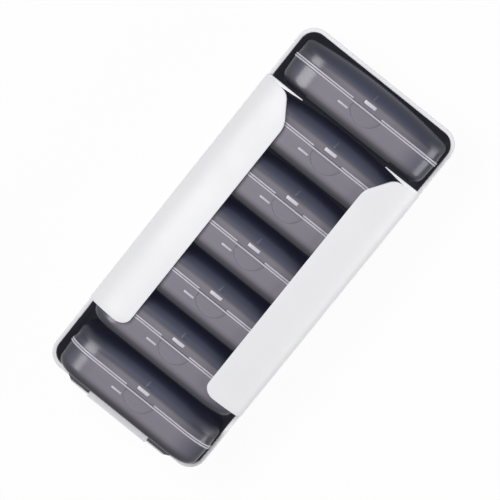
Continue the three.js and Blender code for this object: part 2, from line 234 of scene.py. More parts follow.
# Camera, lights and floor, with places and sizes in metres
CAMERA_SENSOR = 36.0
CAMERA_LENS = 130.806
CAMERA_PLACE = (0.01337, 0.09714, 1.02674)
CAMERA_TURN_DEGREES = (-3.854, 4.1164, 38.6279)
LIGHT_AIM = (0, 0, 0.05)
WORLD_STRENGTH = 0.1
FLOOR_REACH = 3.0
FLOOR_TONE = 0.9
FLOOR_ROUGHNESS = 0.9
FLOOR_GLOW_SHARE = 0.94

pin_low, pin_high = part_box("case_4_hinge_pin")
HINGE_Z = (pin_low.z + pin_high.z) / 2 / MM


def mesh_of(name, points, faces):
    """A mesh in metres from points in millimetres, with its normals facing out."""
    mesh = bpy.data.meshes.new(name)
    mesh.from_pydata((np.array(points, float) * MM).tolist(), [], faces)
    work = bmesh.new()
    work.from_mesh(mesh)
    bmesh.ops.remove_doubles(work, verts=work.verts, dist=MERGE_DISTANCE * MM)
    bmesh.ops.recalc_face_normals(work, faces=work.faces)
    work.to_mesh(mesh)
    work.free()
    return mesh


def evaluated(mesh, set_up):
    """The mesh after the modifiers that set_up puts on it."""
    holder = bpy.data.objects.new("work", mesh)
    bpy.context.scene.collection.objects.link(holder)
    set_up(holder)
    bpy.context.view_layer.update()
    graph = bpy.context.evaluated_depsgraph_get()
    result = bpy.data.meshes.new_from_object(holder.evaluated_get(graph))
    bpy.data.objects.remove(holder)
    return result


def combined(mesh, other, operation):
    """A boolean of two meshes."""
    tool = bpy.data.objects.new("tool", other)
    bpy.context.scene.collection.objects.link(tool)

    def set_up(holder):
        modifier = holder.modifiers.new("boolean", "BOOLEAN")
        modifier.operation = operation
        modifier.solver = "EXACT"
        modifier.object = tool

    result = evaluated(mesh, set_up)
    bpy.data.objects.remove(tool)
    return result


def bevelled(mesh, width, segments=3, degrees=BEVEL_DEGREES):
    """The mesh with its sharp edges rounded."""
    def set_up(holder):
        modifier = holder.modifiers.new("bevel", "BEVEL")
        modifier.width = width * MM
        modifier.segments = segments
        modifier.limit_method = "ANGLE"
        modifier.angle_limit = math.radians(degrees)

    return evaluated(mesh, set_up)


def smoothed(mesh, degrees=SHARP_DEGREES):
    """The mesh shaded smooth, except across edges sharper than an angle."""
    mesh.shade_smooth()
    mesh.set_sharp_from_angle(angle=math.radians(degrees))
    return mesh


def covered(mesh, material):
    """The mesh with its first material."""
    mesh.materials.append(material)
    return mesh


def slotted(mesh):
    """The mesh with empty slots, so that a boolean keeps each face's slot number."""
    while len(mesh.materials) <= STREAK:
        mesh.materials.append(None)
    return mesh


def painted(mesh, index):
    """The mesh with all its faces on one material slot."""
    slotted(mesh)
    for polygon in mesh.polygons:
        polygon.material_index = index
    return mesh


def loft_mesh(name, rings, start=None, end=None):
    """A closed skin through rings of equal length. An end is a flat cap, or runs to a point."""
    count = len(rings[0])
    points = [tuple(p) for ring in rings for p in ring]
    faces = []
    for r in range(len(rings) - 1):
        for i in range(count):
            j = (i + 1) % count
            faces.append((r * count + i, r * count + j, (r + 1) * count + j, (r + 1) * count + i))
    last = (len(rings) - 1) * count
    for first, tip in ((0, start), (last, end)):
        if tip is None:
            faces.append(tuple(range(first, first + count)))
        else:
            points.append(tuple(tip))
            faces += [(first + i, first + (i + 1) % count, len(points) - 1) for i in range(count)]
    return mesh_of(name, points, faces)


def box_mesh(name, low, high):
    """A box between two corners."""
    points = [(x, y, z) for x in (low[0], high[0]) for y in (low[1], high[1]) for z in (low[2], high[2])]
    faces = [(0, 1, 3, 2), (4, 6, 7, 5), (0, 4, 5, 1), (2, 3, 7, 6), (0, 2, 6, 4), (1, 5, 7, 3)]
    return mesh_of(name, points, faces)


def bar_mesh(name, radius, from_x, to_x):
    """A round bar along the hinge axis."""
    angles = np.linspace(0, 2 * math.pi, BAR_SIDES, endpoint=False)
    circle = [(radius * math.cos(a), radius * math.sin(a)) for a in angles]
    return loft_mesh(name, [[(x, y, z) for y, z in circle] for x in (from_x, to_x)])


def arc_pairs(from_degrees, to_degrees, steps):
    """Cosine and sine at even steps of an angle."""
    return [(math.cos(a), math.sin(a)) for a in np.radians(np.linspace(from_degrees, to_degrees, steps + 1))]


def bezier(a, b, c, steps):
    """Points on a quadratic curve from a to c."""
    a, b, c = (np.array(p, float) for p in (a, b, c))
    return [(1 - t) ** 2 * a + 2 * t * (1 - t) * b + t * t * c for t in np.linspace(0, 1, steps + 1)]


def resampled(line, count):
    """A line's points at even spacing."""
    line = np.array(line, float)
    lengths = np.concatenate([[0], np.cumsum(np.linalg.norm(np.diff(line, axis=0), axis=1))])
    at = np.linspace(0, lengths[-1], count)
    return np.stack([np.interp(at, lengths, line[:, k]) for k in range(2)], 1)


def rounded_ring(low_x, high_x, low_y, high_y, across, up, corner_steps, long_steps=1, short_steps=1):
    """Points round a rectangle with quarter ellipses as its corners, as pairs."""
    points = []
    corners = ((high_x - across, high_y - up, 0), (low_x + across, high_y - up, 1),
               (low_x + across, low_y + up, 2), (high_x - across, low_y + up, 3))
    for index, (x, y, quarter) in enumerate(corners):
        for step in range(corner_steps + 1):
            angle = (quarter + step / corner_steps) * math.pi / 2
            points.append((x + across * math.cos(angle), y + up * math.sin(angle)))
        following = corners[(index + 1) % 4]
        angle = (quarter + 1) * math.pi / 2
        start = np.array(points[-1])
        finish = np.array((following[0] + across * math.cos(angle), following[1] + up * math.sin(angle)))
        steps = long_steps if index % 2 == 0 else short_steps
        points += [tuple(start + (finish - start) * k / steps) for k in range(1, steps)]
    return points


def plan_ring(inset, z):
    """The holder's plan, inset from its outside, at a height."""
    radius = HOLDER_CORNER - inset
    ring = rounded_ring(-HALF_WIDTH + inset, HALF_WIDTH - inset, NEAR_END + inset, FAR_END - inset,
                        radius, radius, PLAN_STEPS)
    return [(x, y, z) for x, y in ring]


def tray_profile():
    """The holder's wall as pairs of inset and height, from the foot over the rim and down to the floor."""
    outside = [(FOOT_RADIUS - FOOT_RADIUS * s, FOOT_RADIUS - FOOT_RADIUS * c)
               for c, s in arc_pairs(0, 90, FOOT_STEPS)]
    rim_foot = RIM_HEIGHT - RIM_EDGE
    rim_inside = INSIDE_INSET - RIM_EDGE
    rim = [(RIM_EDGE - RIM_EDGE * c, rim_foot + RIM_EDGE * s) for c, s in arc_pairs(0, 90, RIM_STEPS)]
    rim += [(rim_inside + RIM_EDGE * s, rim_foot + RIM_EDGE * c) for c, s in arc_pairs(0, 90, RIM_STEPS)]
    rim += [(INSIDE_INSET, RIM_HEIGHT - RIM_DEPTH), (SHELL_WALL, RIM_HEIGHT - RIM_DEPTH)]
    arc_inset = SHELL_WALL + FOOT_RADIUS
    arc_height = SHELL_FLOOR + FOOT_RADIUS
    inside = [(arc_inset - FOOT_RADIUS * c, arc_height - FOOT_RADIUS * s) for c, s in arc_pairs(0, 90, FLOOR_STEPS)]
    return outside + rim + inside


def tray_mesh():
    """The open tray with its ledge, its pull lip and the recesses beside the lip."""
    tray = loft_mesh("tray", [plan_ring(inset, z) for inset, z in tray_profile()])
    tray = combined(tray, rim_bar_mesh(LEDGE_WIDTH, LEDGE_REACH, LEDGE_SLANT, LEDGE_ROUND), "UNION")
    tray = combined(tray, rim_bar_mesh(LIP_WIDTH, LIP_REACH, 0.0, LIP_ROUND), "UNION")
    for sign in (-1, 1):
        tray = combined(tray, recess_mesh(sign), "DIFFERENCE")
    return smoothed(tray)


def rim_bar_mesh(width, reach, slant, edge):
    """A bar along the near wall's rim, with an underside that slopes back to the wall and slanted ends."""
    wall = NEAR_END + INSIDE_INSET / 2
    behind = NEAR_END + SHELL_WALL / 2
    outer = NEAR_END - reach
    foot = RIM_HEIGHT - LEDGE_HEIGHT
    wall_foot = RIM_HEIGHT - RIM_DEPTH / 2
    section = [(wall, RIM_HEIGHT), (outer, RIM_HEIGHT), (outer, foot + reach), (NEAR_END, foot),
               (behind, foot), (behind, wall_foot), (wall, wall_foot)]
    rings = []
    for sign in (-1, 1):
        drawn_in = [slant * max(0.0, (NEAR_END - y) / reach) for y, z in section]
        rings.append([(sign * (width / 2 - less), y, z) for less, (y, z) in zip(drawn_in, section)])
    return bevelled(loft_mesh("rim_bar", rings), edge)


def recess_mesh(sign):
    """The room beside the pull lip for one of the liner's tabs. Its outer end follows the ledge's slanted end."""
    front = NEAR_END - LEDGE_REACH + LEDGE_EDGE
    back = NEAR_END + INSIDE_INSET + OVERRUN
    outer = LEDGE_WIDTH / 2 - LEDGE_EDGE
    front_x = outer - LEDGE_SLANT * (NEAR_END - front) / LEDGE_REACH
    outline = [(LIP_WIDTH / 2, back), (LIP_WIDTH / 2, front), (front_x, front), (outer, NEAR_END), (outer, back)]
    heights = (RIM_HEIGHT - RECESS_DEPTH, RIM_HEIGHT + OVERRUN)
    return loft_mesh("recess", [[(sign * x, y, z) for x, y in outline] for z in heights])


def flange_far_outline():
    """The far edge of a flange as distance from its inner edge, and Y, going outwards."""
    length = math.hypot(CHAMFER_ALONG, CHAMFER_ACROSS)
    across = CHAMFER_CORNER * CHAMFER_ACROSS / length
    along = CHAMFER_CORNER * CHAMFER_ALONG / length
    chamfer = FLANGE_FAR - CHAMFER_ALONG
    points = bezier((0, chamfer - CHAMFER_CORNER), (0, chamfer), (across, chamfer + along), CHAMFER_STEPS)
    points += bezier((CHAMFER_ACROSS - across, FLANGE_FAR - along), (CHAMFER_ACROSS, FLANGE_FAR),
                     (CHAMFER_ACROSS + CHAMFER_CORNER, FLANGE_FAR), CHAMFER_STEPS)
    points.append(np.array((FLANGE_REACH, FLANGE_FAR + FLANGE_SLANT)))
    return np.array(points)


def flange_near(across):
    """The near edge's Y at a distance from the inner edge, with a rounded corner."""
    share = max(0.0, 1 - across / FLANGE_NEAR_ACROSS)
    return FLANGE_NEAR + FLANGE_NEAR_ALONG * (1 - math.sqrt(max(0.0, 1 - share * share)))


def flange_stations():
    """A flange's section, outside and inside, from its inner edge over the curl and down to the rim."""
    distances = [FLANGE_NEAR_ACROSS * (k / CORNER_COLUMNS) ** 2 for k in range(CORNER_COLUMNS + 1)]
    angles = [math.acos(d / FLANGE_REACH) for d in distances]
    curl = np.radians(np.linspace(CURL_START_DEGREES, 0, CURL_COLUMNS))
    angles += [a for a in curl if a < angles[-1] - LEAST_COLUMN_RADIANS]
    inside_reach = FLANGE_REACH - SHELL_WALL
    inside_rise = FLANGE_RISE - SHELL_WALL
    stations = [(FLANGE_INNER + FLANGE_REACH * math.cos(a), SPRING + FLANGE_RISE * math.sin(a),
                 FLANGE_INNER + inside_reach * math.cos(a), SPRING + inside_rise * math.sin(a)) for a in angles]
    bottom = RIM_HEIGHT - RIM_EDGE
    return stations + [(HALF_WIDTH, bottom, HALF_WIDTH - SHELL_WALL, bottom)]


def sheet_faces(columns, rows):
    """Faces round a thick sheet, whose points come in pairs, outside and inside, row after row in each column."""
    def at(column, row, side):
        return (column * rows + row) * 2 + side

    faces = []
    for c in range(columns - 1):
        for r in range(rows - 1):
            for side in (0, 1):
                faces.append((at(c, r, side), at(c + 1, r, side), at(c + 1, r + 1, side), at(c, r + 1, side)))
        for r in (0, rows - 1):
            faces.append((at(c, r, 0), at(c + 1, r, 0), at(c + 1, r, 1), at(c, r, 1)))
    for r in range(rows - 1):
        for c in (0, columns - 1):
            faces.append((at(c, r, 0), at(c, r + 1, 0), at(c, r + 1, 1), at(c, r, 1)))
    return faces


def flange_mesh(sign):
    """One flange: a curled sheet whose ends follow its plan outline."""
    far = flange_far_outline()
    stations = flange_stations()
    points = []
    for outer_x, outer_z, inner_x, inner_z in stations:
        across = outer_x - FLANGE_INNER
        near_y = flange_near(across)
        far_y = np.interp(across, far[:, 0], far[:, 1])
        for share in np.linspace(0, 1, FLANGE_ROWS):
            y = near_y + (far_y - near_y) * share
            points += [(sign * outer_x, y, outer_z), (sign * inner_x, y, inner_z)]
    sheet = mesh_of("flange", points, sheet_faces(len(stations), FLANGE_ROWS))
    return smoothed(bevelled(sheet, FLANGE_EDGE, degrees=FLANGE_SHARP_DEGREES))


def rib_outer_line():
    """A rib's outer edge in X and Z, up the side wall and along the inside of the flange's curl."""
    side = HALF_WIDTH - RIB_STEP_DOWN
    reach = FLANGE_REACH - RIB_STEP_DOWN
    rise = FLANGE_RISE - RIB_STEP_DOWN
    line = [(side, RIB_FOOT + FOOT_RADIUS), (side, SPRING)]
    line += [(FLANGE_INNER + reach * c, SPRING + rise * s)
             for c, s in arc_pairs(RIB_CURL_DEGREES, 90, RIB_CURL_STEPS)]
    line = [p for p in line if p[0] > RIB_TIP]
    line.append((RIB_TIP, SPRING + rise * math.sqrt(1 - ((RIB_TIP - FLANGE_INNER) / reach) ** 2)))
    return line


def rib_inner_line():
    """A rib's inner edge in X and Z, which holds the trapped case by its outline."""
    edge_x = CASE_LENGTH / 2 - RIB_HOLD
    edge_z = HINGE_Z + CROWN_TOP - RIB_HOLD
    across = CORNER_ACROSS - RIB_HOLD
    drop = CORNER_DROP - RIB_HOLD
    line = [(edge_x, RIB_FOOT), (edge_x, edge_z - drop)]
    line += [(edge_x - across + across * c, edge_z - drop + drop * s)
             for c, s in arc_pairs(RIB_CASE_DEGREES, 90, RIB_CASE_STEPS)]
    return line + [(RIB_TIP, edge_z)]


def rib_mesh(sign):
    """One stop rib under a flange's far end. It thins towards its tip."""
    rings = []
    for outer, inner in zip(resampled(rib_outer_line(), RIB_STATIONS), resampled(rib_inner_line(), RIB_STATIONS)):
        near = []
        for x, z in (outer, inner):
            share = min(1.0, max(0.0, (x - RIB_TIP) / RIB_TAPER))
            thickness = RIB_TIP_THICKNESS + (RIB_THICKNESS - RIB_TIP_THICKNESS) * share
            near.append((sign * x, RIB_FAR - thickness, z))
        far = [(sign * x, RIB_FAR, z) for x, z in (outer, inner)]
        rings.append([far[0], near[0], near[1], far[1]])
    return smoothed(bevelled(loft_mesh("rib", rings), RIB_EDGE, segments=2))


def bowed(x, from_seam, bow):
    """Distance from the seam plane on a bowed face: full at mid length, less towards the ends."""
    depth_share = max(0.0, (from_seam - LIP_END) / (CASE_THICKNESS / 2 - LIP_END))
    return from_seam - bow * (2 * x / CASE_LENGTH) ** 2 * depth_share


def case_ring(from_seam, inset_x, inset_z, bow):
    """A ring round a case at a distance from the seam plane, inset from the case's outline."""
    half_x = CASE_LENGTH / 2 - inset_x
    half_z = CASE_HEIGHT / 2 - inset_z
    ring = rounded_ring(-half_x, half_x, -half_z, half_z, CORNER_ACROSS - inset_x, CORNER_DROP - inset_z,
                        CASE_CORNER_STEPS, CASE_LONG_STEPS, CASE_SHORT_STEPS)
    return [(x, bowed(x, from_seam, bow), z + CASE_MIDDLE) for x, z in ring]


def rounded_rings(form, wall, steps):
    """Rings from the side to the face, on the skin at a depth of wall below the outside. The crown may drop by
    another curve than the one that rounds the ends."""
    face_edge = CASE_THICKNESS / 2 - form["bulge"]
    end_radius = form["end_rounding"] - wall
    rings = []
    for c, s in arc_pairs(0, 90, steps):
        from_seam = face_edge - form["rounding"] + (form["rounding"] - wall) * s
        end_sine = min(1.0, max(0.0, from_seam - face_edge + form["end_rounding"]) / end_radius)
        inset_x = wall + CASE_DRAFT + end_radius * (1 - math.sqrt(1 - end_sine * end_sine))
        inset_z = wall + CASE_DRAFT + (form["drop"] - wall) * (1 - c)
        rings.append(case_ring(from_seam, inset_x, inset_z, form["bow"]))
    return rings


def lip_rings(form):
    """Rings of the seam lip, and one past its fillet that keeps the crown's shading flat."""
    lip = [(SEAM_GAP / 2, LIP_EDGE - LIP_PROUD), (SEAM_GAP / 2 + LIP_EDGE, -LIP_PROUD),
           (LIP_DEPTH - LIP_EDGE, -LIP_PROUD), (LIP_DEPTH, LIP_EDGE - LIP_PROUD),
           (LIP_DEPTH + LIP_EDGE, -LIP_PROUD / 4), (LIP_END, 0)]
    flat = CASE_THICKNESS / 2 - form["bulge"] - form["rounding"] - LIP_END
    lip.append((LIP_END + LIP_FILLET, CASE_DRAFT * LIP_FILLET / flat))
    return [case_ring(from_seam, inset, inset, form["bow"]) for from_seam, inset in lip]


def face_rings(form, border):
    """Rings that close the bulged face from its border to near its middle."""
    middle = np.array((0, 0, CASE_MIDDLE))
    border = np.array(border)
    rings = []
    for share in FACE_SHARES:
        ring = middle + (border - middle) * share
        from_seam = CASE_THICKNESS / 2 - form["bulge"] * share * share
        ring[:, 1] = [bowed(x, from_seam, form["bow"]) for x in ring[:, 0]]
        rings.append([tuple(p) for p in ring])
    return rings


def half_case_mesh(form):
    """Half a case, open towards the seam plane, with its bulged face towards +Y and its seam lip pale."""
    outermost = CASE_THICKNESS / 2
    outside = lip_rings(form) + rounded_rings(form, 0.0, OUTSIDE_STEPS)
    outside += face_rings(form, outside[-1])
    inside = [case_ring(SEAM_GAP / 2, CASE_WALL, CASE_WALL, form["bow"])]
    inside += rounded_rings(form, CASE_WALL, INSIDE_STEPS)
    mesh = loft_mesh("half_case", inside[::-1] + outside, (0, outermost - CASE_WALL, CASE_MIDDLE),
                     (0, outermost, CASE_MIDDLE))
    centre = Vector((0, 0, CASE_MIDDLE)) * MM
    for polygon in mesh.polygons:
        faces_out = polygon.normal.dot(polygon.center - centre) > 0
        if faces_out and polygon.center.y < LIP_DEPTH * MM:
            polygon.material_index = PALE
    return slotted(mesh)


def knuckle_mesh(from_x, to_x, sign):
    """A knuckle round the pin, with an arm to its half of the case."""
    foot = CASE_FOOT + SEAM_GAP
    ends = (PIN_RADIUS * sign, ARM_REACH * sign)
    arm = box_mesh("arm", (from_x, min(ends), foot), (to_x, max(ends), foot + ARM_THICKNESS))
    return combined(bar_mesh("knuckle", KNUCKLE_RADIUS, from_x, to_x), arm, "UNION")


def hinged(mesh, knuckles):
    """A half with room for the barrel cut out, its knuckles put on and the pin's bore cut."""
    room = HINGE_LENGTH / 2 + KNUCKLE_GAP
    bore = HINGE_LENGTH / 2 + OVERRUN
    mesh = combined(mesh, bar_mesh("room", KNUCKLE_RADIUS + KNUCKLE_GAP, -room, room), "DIFFERENCE")
    for knuckle in knuckles:
        mesh = combined(mesh, knuckle, "UNION")
    return combined(mesh, bar_mesh("bore", PIN_RADIUS + PIN_CLEARANCE, -bore, bore), "DIFFERENCE")


def thumb_mesh():
    """The cutter of the thumb recess: round with one square side, with a tilted floor and flared walls."""
    middle = THUMB_RADIUS - THUMB_REACH
    slope = math.tan(math.radians(THUMB_TILT))
    rings = []
    for share, side in ((0.0, -1), (1.0, 1)):
        radius = THUMB_RADIUS + side * THUMB_FLARE
        ring = []
        for c, s in arc_pairs(0, 360 - 360 / THUMB_SIDES, THUMB_SIDES - 1):
            x = max(-THUMB_SQUARE - side * THUMB_FLARE, radius * c + THUMB_MIDDLE)
            y = min(-LIP_END, radius * s + middle)
            depth = THUMB_DEPTH - y * slope
            ring.append((x + LATCH_SHIFT, y, CROWN_TOP - depth * (1 - share)))
        rings.append(ring)
    rings.append([(x, y, CROWN_TOP + OVERRUN) for x, y, z in rings[-1]])
    return loft_mesh("thumb", rings)


def tongue_mesh():
    """The latch tongue that reaches under the lid's window, on a stem behind the seam."""
    low_x = LATCH_SHIFT - TONGUE_WIDTH / 2
    high_x = LATCH_SHIFT + TONGUE_WIDTH / 2
    top = CROWN_LOW - CASE_WALL - TONGUE_CLEARANCE
    bottom = top - TONGUE_THICKNESS
    tongue = box_mesh("tongue", (low_x, -TONGUE_ROOT, bottom), (high_x, TONGUE_REACH, top))
    stem = box_mesh("stem", (low_x, -TONGUE_ROOT, bottom), (high_x, -SEAM_GAP / 2, CROWN_TOP - CASE_WALL / 2))
    return combined(tongue, stem, "UNION")


def nib_mesh():
    """The small pale bar beside the thumb recess."""
    high_x = LATCH_SHIFT - NIB_FROM_MIDDLE + NIB_WIDTH / 2
    middle_y = -NIB_FROM_SEAM
    nib = box_mesh("nib", (high_x - NIB_WIDTH, middle_y - NIB_DEPTH / 2, CROWN_TOP - CASE_WALL),
                   (high_x, middle_y + NIB_DEPTH / 2, CROWN_LOW + NIB_PROUD))
    return painted(bevelled(nib, NIB_ROUND), PALE)


def streak_mesh():
    """A faint raised line on the lid that runs away from the window, down the lid's curve."""
    start = CASE_THICKNESS / 2 - LID_FORM["bulge"] - LID_FORM["rounding"]
    low_x = LATCH_SHIFT - STREAK_WIDTH / 2
    high_x = LATCH_SHIFT + STREAK_WIDTH / 2
    rings = []
    for y in np.linspace(STREAK_NEAR, STREAK_FAR, STREAK_STEPS):
        sine = max(0.0, (y - start) / LID_FORM["rounding"])
        z = CROWN_LOW - LID_FORM["drop"] * (1 - math.sqrt(1 - sine * sine))
        root = z - CASE_WALL / 2
        rings.append([(low_x, y, root), (low_x, y, z), (LATCH_SHIFT, y, z + STREAK_PROUD), (high_x, y, z),
                      (high_x, y, root)])
    return painted(loft_mesh("streak", rings), STREAK)


def window_box(name, gap, bottom, top):
    """A box that fills the lid's window up to a gap."""
    half_x = WINDOW_WIDTH / 2 - gap
    half_y = WINDOW_DEPTH / 2 - gap
    return box_mesh(name, (LATCH_SHIFT - half_x, WINDOW_MIDDLE - half_y, bottom),
                    (LATCH_SHIFT + half_x, WINDOW_MIDDLE + half_y, top))


def insert_mesh():
    """The insert that fills the lid's window, over the base's tongue. Its pale colour is a painted highlight: the
    light that the latch catches in the window.
    """
    insert = window_box("insert", INSERT_GAP, CROWN_LOW - CASE_WALL, CROWN_LOW - INSERT_GAP)
    return smoothed(bevelled(insert, INSERT_ROUND))


def base_mesh():
    """A base with its tongue, nib, thumb recess and outer knuckles."""
    mesh = half_case_mesh(BASE_FORM)
    mesh.transform(Matrix.Rotation(math.pi, 4, "Z"))
    mesh = combined(mesh, tongue_mesh(), "UNION")
    mesh = combined(mesh, nib_mesh(), "UNION")
    mesh = combined(mesh, thumb_mesh(), "DIFFERENCE")
    inner = LID_KNUCKLE / 2 + KNUCKLE_GAP
    outer = HINGE_LENGTH / 2
    return smoothed(hinged(mesh, [knuckle_mesh(-outer, -inner, -1), knuckle_mesh(inner, outer, -1)]))


def lid_mesh():
    """A lid with its streak, window, seam notch and middle knuckle."""
    window = window_box("window", 0.0, CROWN_LOW - CASE_WALL - OVERRUN, CROWN_TOP + OVERRUN)
    notch = box_mesh("notch", (LATCH_SHIFT - NOTCH_WIDTH / 2, 0, CROWN_TOP),
                     (LATCH_SHIFT + NOTCH_WIDTH / 2, LIP_END, CROWN_TOP + OVERRUN))
    mesh = combined(half_case_mesh(LID_FORM), streak_mesh(), "UNION")
    mesh = combined(combined(mesh, window, "DIFFERENCE"), notch, "DIFFERENCE")
    return smoothed(hinged(mesh, [knuckle_mesh(-LID_KNUCKLE / 2, LID_KNUCKLE / 2, 1)]))


class Nodes:
    """A material's node tree, with short calls to build it."""

    def __init__(self, name):
        self.material = bpy.data.materials.new(name)
        self.material.use_nodes = True
        self.tree = self.material.node_tree
        self.shader = self.tree.nodes["Principled BSDF"]

    def add(self, kind, **values):
        """A new node with its settings."""
        node = self.tree.nodes.new(kind)
        for key, value in values.items():
            setattr(node, key, value)
        return node

    def link(self, source, target):
        self.tree.links.new(source, target)

    def noise(self, scale, detail=NOISE_DETAIL):
        """Noise that stays with the object."""
        place = self.add("ShaderNodeTexCoord")
        node = self.add("ShaderNodeTexNoise")
        node.inputs["Scale"].default_value = scale
        node.inputs["Detail"].default_value = detail
        self.link(place.outputs["Object"], node.inputs["Vector"])
        return node.outputs["Fac"]

    def ramp(self, source, stops):
        """A colour that changes over stops of position and colour."""
        node = self.add("ShaderNodeValToRGB")
        while len(node.color_ramp.elements) < len(stops):
            node.color_ramp.elements.new(1.0)
        for element, (position, color) in zip(node.color_ramp.elements, stops):
            element.position = position
            element.color = (*color, 1)
        self.link(source, node.inputs["Fac"])
        return node.outputs["Color"]

    def ranged(self, source, from_low, from_high, to_low, to_high):
        """A value moved from one range to another, and held inside it."""
        node = self.add("ShaderNodeMapRange")
        for key, value in (("From Min", from_low), ("From Max", from_high), ("To Min", to_low), ("To Max", to_high)):
            node.inputs[key].default_value = value
        self.link(source, node.inputs["Value"])
        return node.outputs["Result"]

    def math(self, operation, first, second=0.0):
        """An operation on two values, each a number or another node's output."""
        node = self.add("ShaderNodeMath", operation=operation)
        for socket, value in zip(node.inputs, (first, second)):
            if isinstance(value, float):
                socket.default_value = value
            else:
                self.link(value, socket)
        return node.outputs["Value"]

    def multiplied(self, first, second):
        """The product of two colours."""
        node = self.add("ShaderNodeMix", data_type="RGBA", blend_type="MULTIPLY")
        node.inputs["Factor"].default_value = 1.0
        self.link(first, node.inputs["A"])
        self.link(second, node.inputs["B"])
        return next(o for o in node.outputs if o.name == "Result" and o.type == "RGBA")

    def add_painted_glow(self, color):
        """A painted glow: a faint emission that lifts gaps which the lamps hardly reach, in place of light that
        bounces there.
        """
        self.shader.inputs["Emission Color"].default_value = (*color, 1)
        self.shader.inputs["Emission Strength"].default_value = 1.0

    def grain(self, scale, strength):
        """A fine grain in the surface."""
        node = self.add("ShaderNodeBump")
        node.inputs["Strength"].default_value = strength
        node.inputs["Distance"].default_value = GRAIN_DEPTH * MM
        self.link(self.noise(scale, GRAIN_DETAIL), node.inputs["Height"])
        self.link(node.outputs["Normal"], self.shader.inputs["Normal"])


def moulded(name, dark, light, roughness, specular=0.5, inner=(0, 0, 0)):
    """Moulded plastic: a faint change of tone, a fine grain, uneven gloss, and a painted glow of the colour inner,
    which is none by default.
    """
    nodes = Nodes(name)
    tone = nodes.ramp(nodes.noise(TONE_SCALE), [(NOISE_LOW, dark), (NOISE_HIGH, light)])
    nodes.link(tone, nodes.shader.inputs["Base Color"])
    gloss = nodes.ranged(nodes.noise(GLOSS_SCALE), NOISE_LOW, NOISE_HIGH, roughness * (1 - GLOSS_SPREAD),
                         roughness * (1 + GLOSS_SPREAD))
    nodes.link(gloss, nodes.shader.inputs["Roughness"])
    nodes.shader.inputs["Specular IOR Level"].default_value = specular
    nodes.add_painted_glow(inner)
    nodes.grain(GRAIN_SCALE, GRAIN_STRENGTH)
    return nodes.material


def case_distances(nodes, bow):
    """A point's distance from the seam lip, on lines that bow with the face, and its share of the half length."""
    place = nodes.add("ShaderNodeTexCoord")
    axes = nodes.add("ShaderNodeSeparateXYZ")
    nodes.link(place.outputs["Object"], axes.inputs["Vector"])
    x = nodes.math("ABSOLUTE", axes.outputs["X"])
    y = nodes.math("ABSOLUTE", axes.outputs["Y"])
    end_share = nodes.math("MULTIPLY", x, 2 / (CASE_LENGTH * MM))
    squared = nodes.math("MULTIPLY", end_share, end_share)
    drawn_in = nodes.math("MULTIPLY", squared, bow / (CASE_THICKNESS / 2 - LIP_END))
    kept = nodes.math("SUBTRACT", 1.0, drawn_in)
    distance = nodes.math("DIVIDE", nodes.math("SUBTRACT", y, LIP_END * MM), kept)
    return distance, end_share


def smoke(name, across, along, bow, slope_rougher):
    """Smoke-tinted plastic. Its tone follows the distance from the seam and from mid length and darkens where the
    walls turn away: partly the smoke looking darker through more plastic, partly painted shade down into the gaps
    between the cases and at their ends. Its gloss falls off down the slope."""
    nodes = Nodes(name)
    distance, end_share = case_distances(nodes, bow)
    # Painted shade, in part: the tone darkens away from the seam lip and towards the case's ends.
    tone = nodes.ramp(nodes.math("MULTIPLY", distance, 1 / (SMOKE_REACH * MM)),
                      [(stop / SMOKE_REACH, color) for stop, color in across])
    end_tone = nodes.ramp(end_share, [(2 * stop / CASE_LENGTH, color) for stop, color in along])
    nodes.link(nodes.multiplied(tone, end_tone), nodes.shader.inputs["Base Color"])
    uneven = nodes.ranged(nodes.noise(SMOKE_GLOSS_SCALE), NOISE_LOW, NOISE_HIGH,
                          SMOKE_ROUGHNESS - SMOKE_ROUGHNESS_SPREAD, SMOKE_ROUGHNESS + SMOKE_ROUGHNESS_SPREAD)
    rougher = nodes.ranged(distance, SLOPE_START * MM, SLOPE_END * MM, 0.0, slope_rougher)
    nodes.link(nodes.math("ADD", uneven, rougher), nodes.shader.inputs["Roughness"])
    nodes.shader.inputs["Specular IOR Level"].default_value = SMOKE_SPECULAR
    # A painted glow: a faint emission that lifts the gaps between the cases.
    nodes.add_painted_glow(SMOKE_PAINTED_GLOW)
    nodes.grain(SMOKE_GRAIN_SCALE, SMOKE_GRAIN_STRENGTH)
    return nodes.material


def violet(value):
    """The smoke tint where light falls on it."""
    return tuple(value * share for share in VIOLET_TINT)


def shaded_slope(value):
    """The bluer smoke tint on the far slopes: partly the smoke's own look through more plastic, partly painted shade
    where the slopes turn from the light.
    """
    return tuple(value * share for share in SHADED_SLOPE_TINT)


def piece(name, mesh, body, nodes=(), place=(0, 0, 0)):
    """A visible piece that rides on a body and stands for CAD nodes."""
    obj = bpy.data.objects.new(name, mesh)
    bpy.context.scene.collection.objects.link(obj)
    obj.location = Vector(place)
    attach(obj, body)
    if nodes:
        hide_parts(*nodes)


def dress_node(name, material, degrees=SHARP_DEGREES):
    """A better material and smooth shading for a CAD node that stays."""
    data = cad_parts[name].data
    data.materials.clear()
    data.materials.append(material)
    smoothed(data, degrees)


def make_holder():
    """The shell's tray, flanges and stop ribs in white, and the liner's own solid in black."""
    white = moulded("satin_white", dark=(0.83, 0.83, 0.86), light=(0.87, 0.87, 0.9), roughness=0.42)
    # The black liner has a painted glow: a faint emission that lifts its walls in gaps the lamps hardly reach.
    black = moulded("satin_black", dark=(0.035, 0.035, 0.042), light=(0.045, 0.045, 0.054), roughness=0.5,
                    specular=0.4, inner=(0.015, 0.0145, 0.02))
    piece("holder_tray", covered(tray_mesh(), white), "holder", ["outer_shell"])
    for side, sign in (("left", -1), ("right", 1)):
        piece(f"flange_{side}", covered(flange_mesh(sign), white), "holder", ["outer_shell"])
        piece(f"stop_rib_{side}", covered(rib_mesh(sign), white), "holder", ["outer_shell"])
    dress_node("inner_liner", black)


